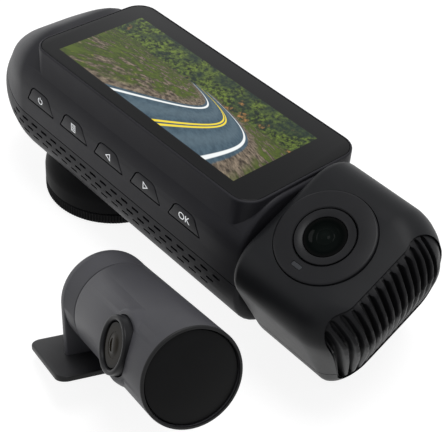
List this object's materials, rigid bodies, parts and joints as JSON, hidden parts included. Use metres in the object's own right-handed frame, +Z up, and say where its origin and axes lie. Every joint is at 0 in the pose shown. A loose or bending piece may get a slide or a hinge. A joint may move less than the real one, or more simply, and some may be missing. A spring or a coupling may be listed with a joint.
{
  "type": "dash camera",
  "caption": "Dash camera set: windscreen unit with screen, side buttons and front lens barrel, a turning cabin camera head, and a separate rear camera on its own stick-on foot.",
  "frame": {"origin": "under the middle of the set, on the surface it stands on", "axes": "+X towards the cabin head, along the windscreen unit as seen from above; -Y towards the buttons and the rear camera; +Z up. The unit leans 3.9 degrees about Y, resting on its lens barrel and cabin head"},
  "size_m": [0.166, 0.0976, 0.0549],
  "materials": {
    "case_black": "fine spark-eroded texture, satin",
    "head_black": "fine texture, satin",
    "button_black": "satin with printed white symbols",
    "barrel_black": "satin",
    "cover_glass": "dark mask with a clear window",
    "display": "lit picture",
    "lens_glass": "coated optical glass",
    "indicator": "frosted window",
    "lens_cell": "matt black",
    "circuit_board": "solder mask",
    "steel": "bright",
    "contact_gold": "plated",
    "dark_plastic": "moulded",
    "capacitor_sleeve": "shrink sleeve",
    "pad_foam": "stick-on foam pad"
  },
  "bodies": {
    "main": {"front_shell": "case_black", "rear_shell": "case_black", "case_screw_1": "steel", "case_screw_2": "steel", "case_screw_3": "steel", "screen_glass": "cover_glass", "screen_panel": "display", "screen_carrier": "steel", "main_board": "circuit_board", "button_board": "circuit_board", "front_lens_barrel": "barrel_black", "front_lens_ring": "barrel_black", "front_lens_glass": "lens_glass", "front_lens_cell": "lens_cell", "front_camera_board": "circuit_board", "speaker": "dark_plastic", "back_up_capacitor_1": "capacitor_sleeve", "back_up_capacitor_2": "capacitor_sleeve", "mount_shoe": "case_black", "shoe_contacts": "contact_gold", "usb_socket": "steel", "rear_camera_socket": "dark_plastic", "card_socket": "steel", "friction_washer": "steel", "rear_bracket": "case_black", "rear_pad": "pad_foam", "rear_cable_socket": "dark_plastic"},
    "cabin_head": {"head_front_shell": "head_black", "head_rear_shell": "head_black", "head_screw_1": "steel", "head_screw_2": "steel", "head_end_grille": "head_black", "cabin_lens_ring": "head_black", "cabin_lens_bezel": "head_black", "cabin_lens_glass": "lens_glass", "cabin_lens_cell": "lens_cell", "cabin_indicator": "indicator", "head_board": "circuit_board", "head_hub": "head_black", "hub_clip": "steel"},
    "rear_camera": {"rear_tube": "case_black", "rear_end_cap": "barrel_black", "rear_lens_ring": "barrel_black", "rear_lens_glass": "lens_glass", "rear_lens_cell": "lens_cell", "rear_board": "circuit_board", "rear_pivot": "steel"},
    "button_power": {"button_power": "button_black"},
    "button_menu": {"button_menu": "button_black"},
    "button_back": {"button_back": "button_black"},
    "button_forward": {"button_forward": "button_black"},
    "button_ok": {"button_ok": "button_black"}
  },
  "joints": [
    {"name": "cabin_head_turn", "type": "hinge", "parent": "main", "child": "cabin_head", "pos_m": [0.04387, 0.02229, 0.02666], "axis": [0.9977, 0, -0.068], "range_deg": [-27.5, 60]},
    {"name": "rear_camera_turn", "type": "hinge", "parent": "main", "child": "rear_camera", "pos_m": [0.07014, -0.0371, 0.03709], "axis": [0.9168, -0.2427, 0.317], "range_deg": [-60, 75]},
    {"name": "button_power_press", "type": "slide", "parent": "main", "child": "button_power", "axis": [0, 1, 0], "range_m": [0, 0.0004], "stiffness_N_per_m": 1000, "springref_m": -0.0006},
    {"name": "button_menu_press", "type": "slide", "parent": "main", "child": "button_menu", "axis": [0, 1, 0], "range_m": [0, 0.0004], "stiffness_N_per_m": 1000, "springref_m": -0.0006},
    {"name": "button_back_press", "type": "slide", "parent": "main", "child": "button_back", "axis": [0, 1, 0], "range_m": [0, 0.0004], "stiffness_N_per_m": 1000, "springref_m": -0.0006},
    {"name": "button_forward_press", "type": "slide", "parent": "main", "child": "button_forward", "axis": [0, 1, 0], "range_m": [0, 0.0004], "stiffness_N_per_m": 1000, "springref_m": -0.0006},
    {"name": "button_ok_press", "type": "slide", "parent": "main", "child": "button_ok", "axis": [0, 1, 0], "range_m": [0, 0.0004], "stiffness_N_per_m": 1000, "springref_m": -0.0006}
  ]
}
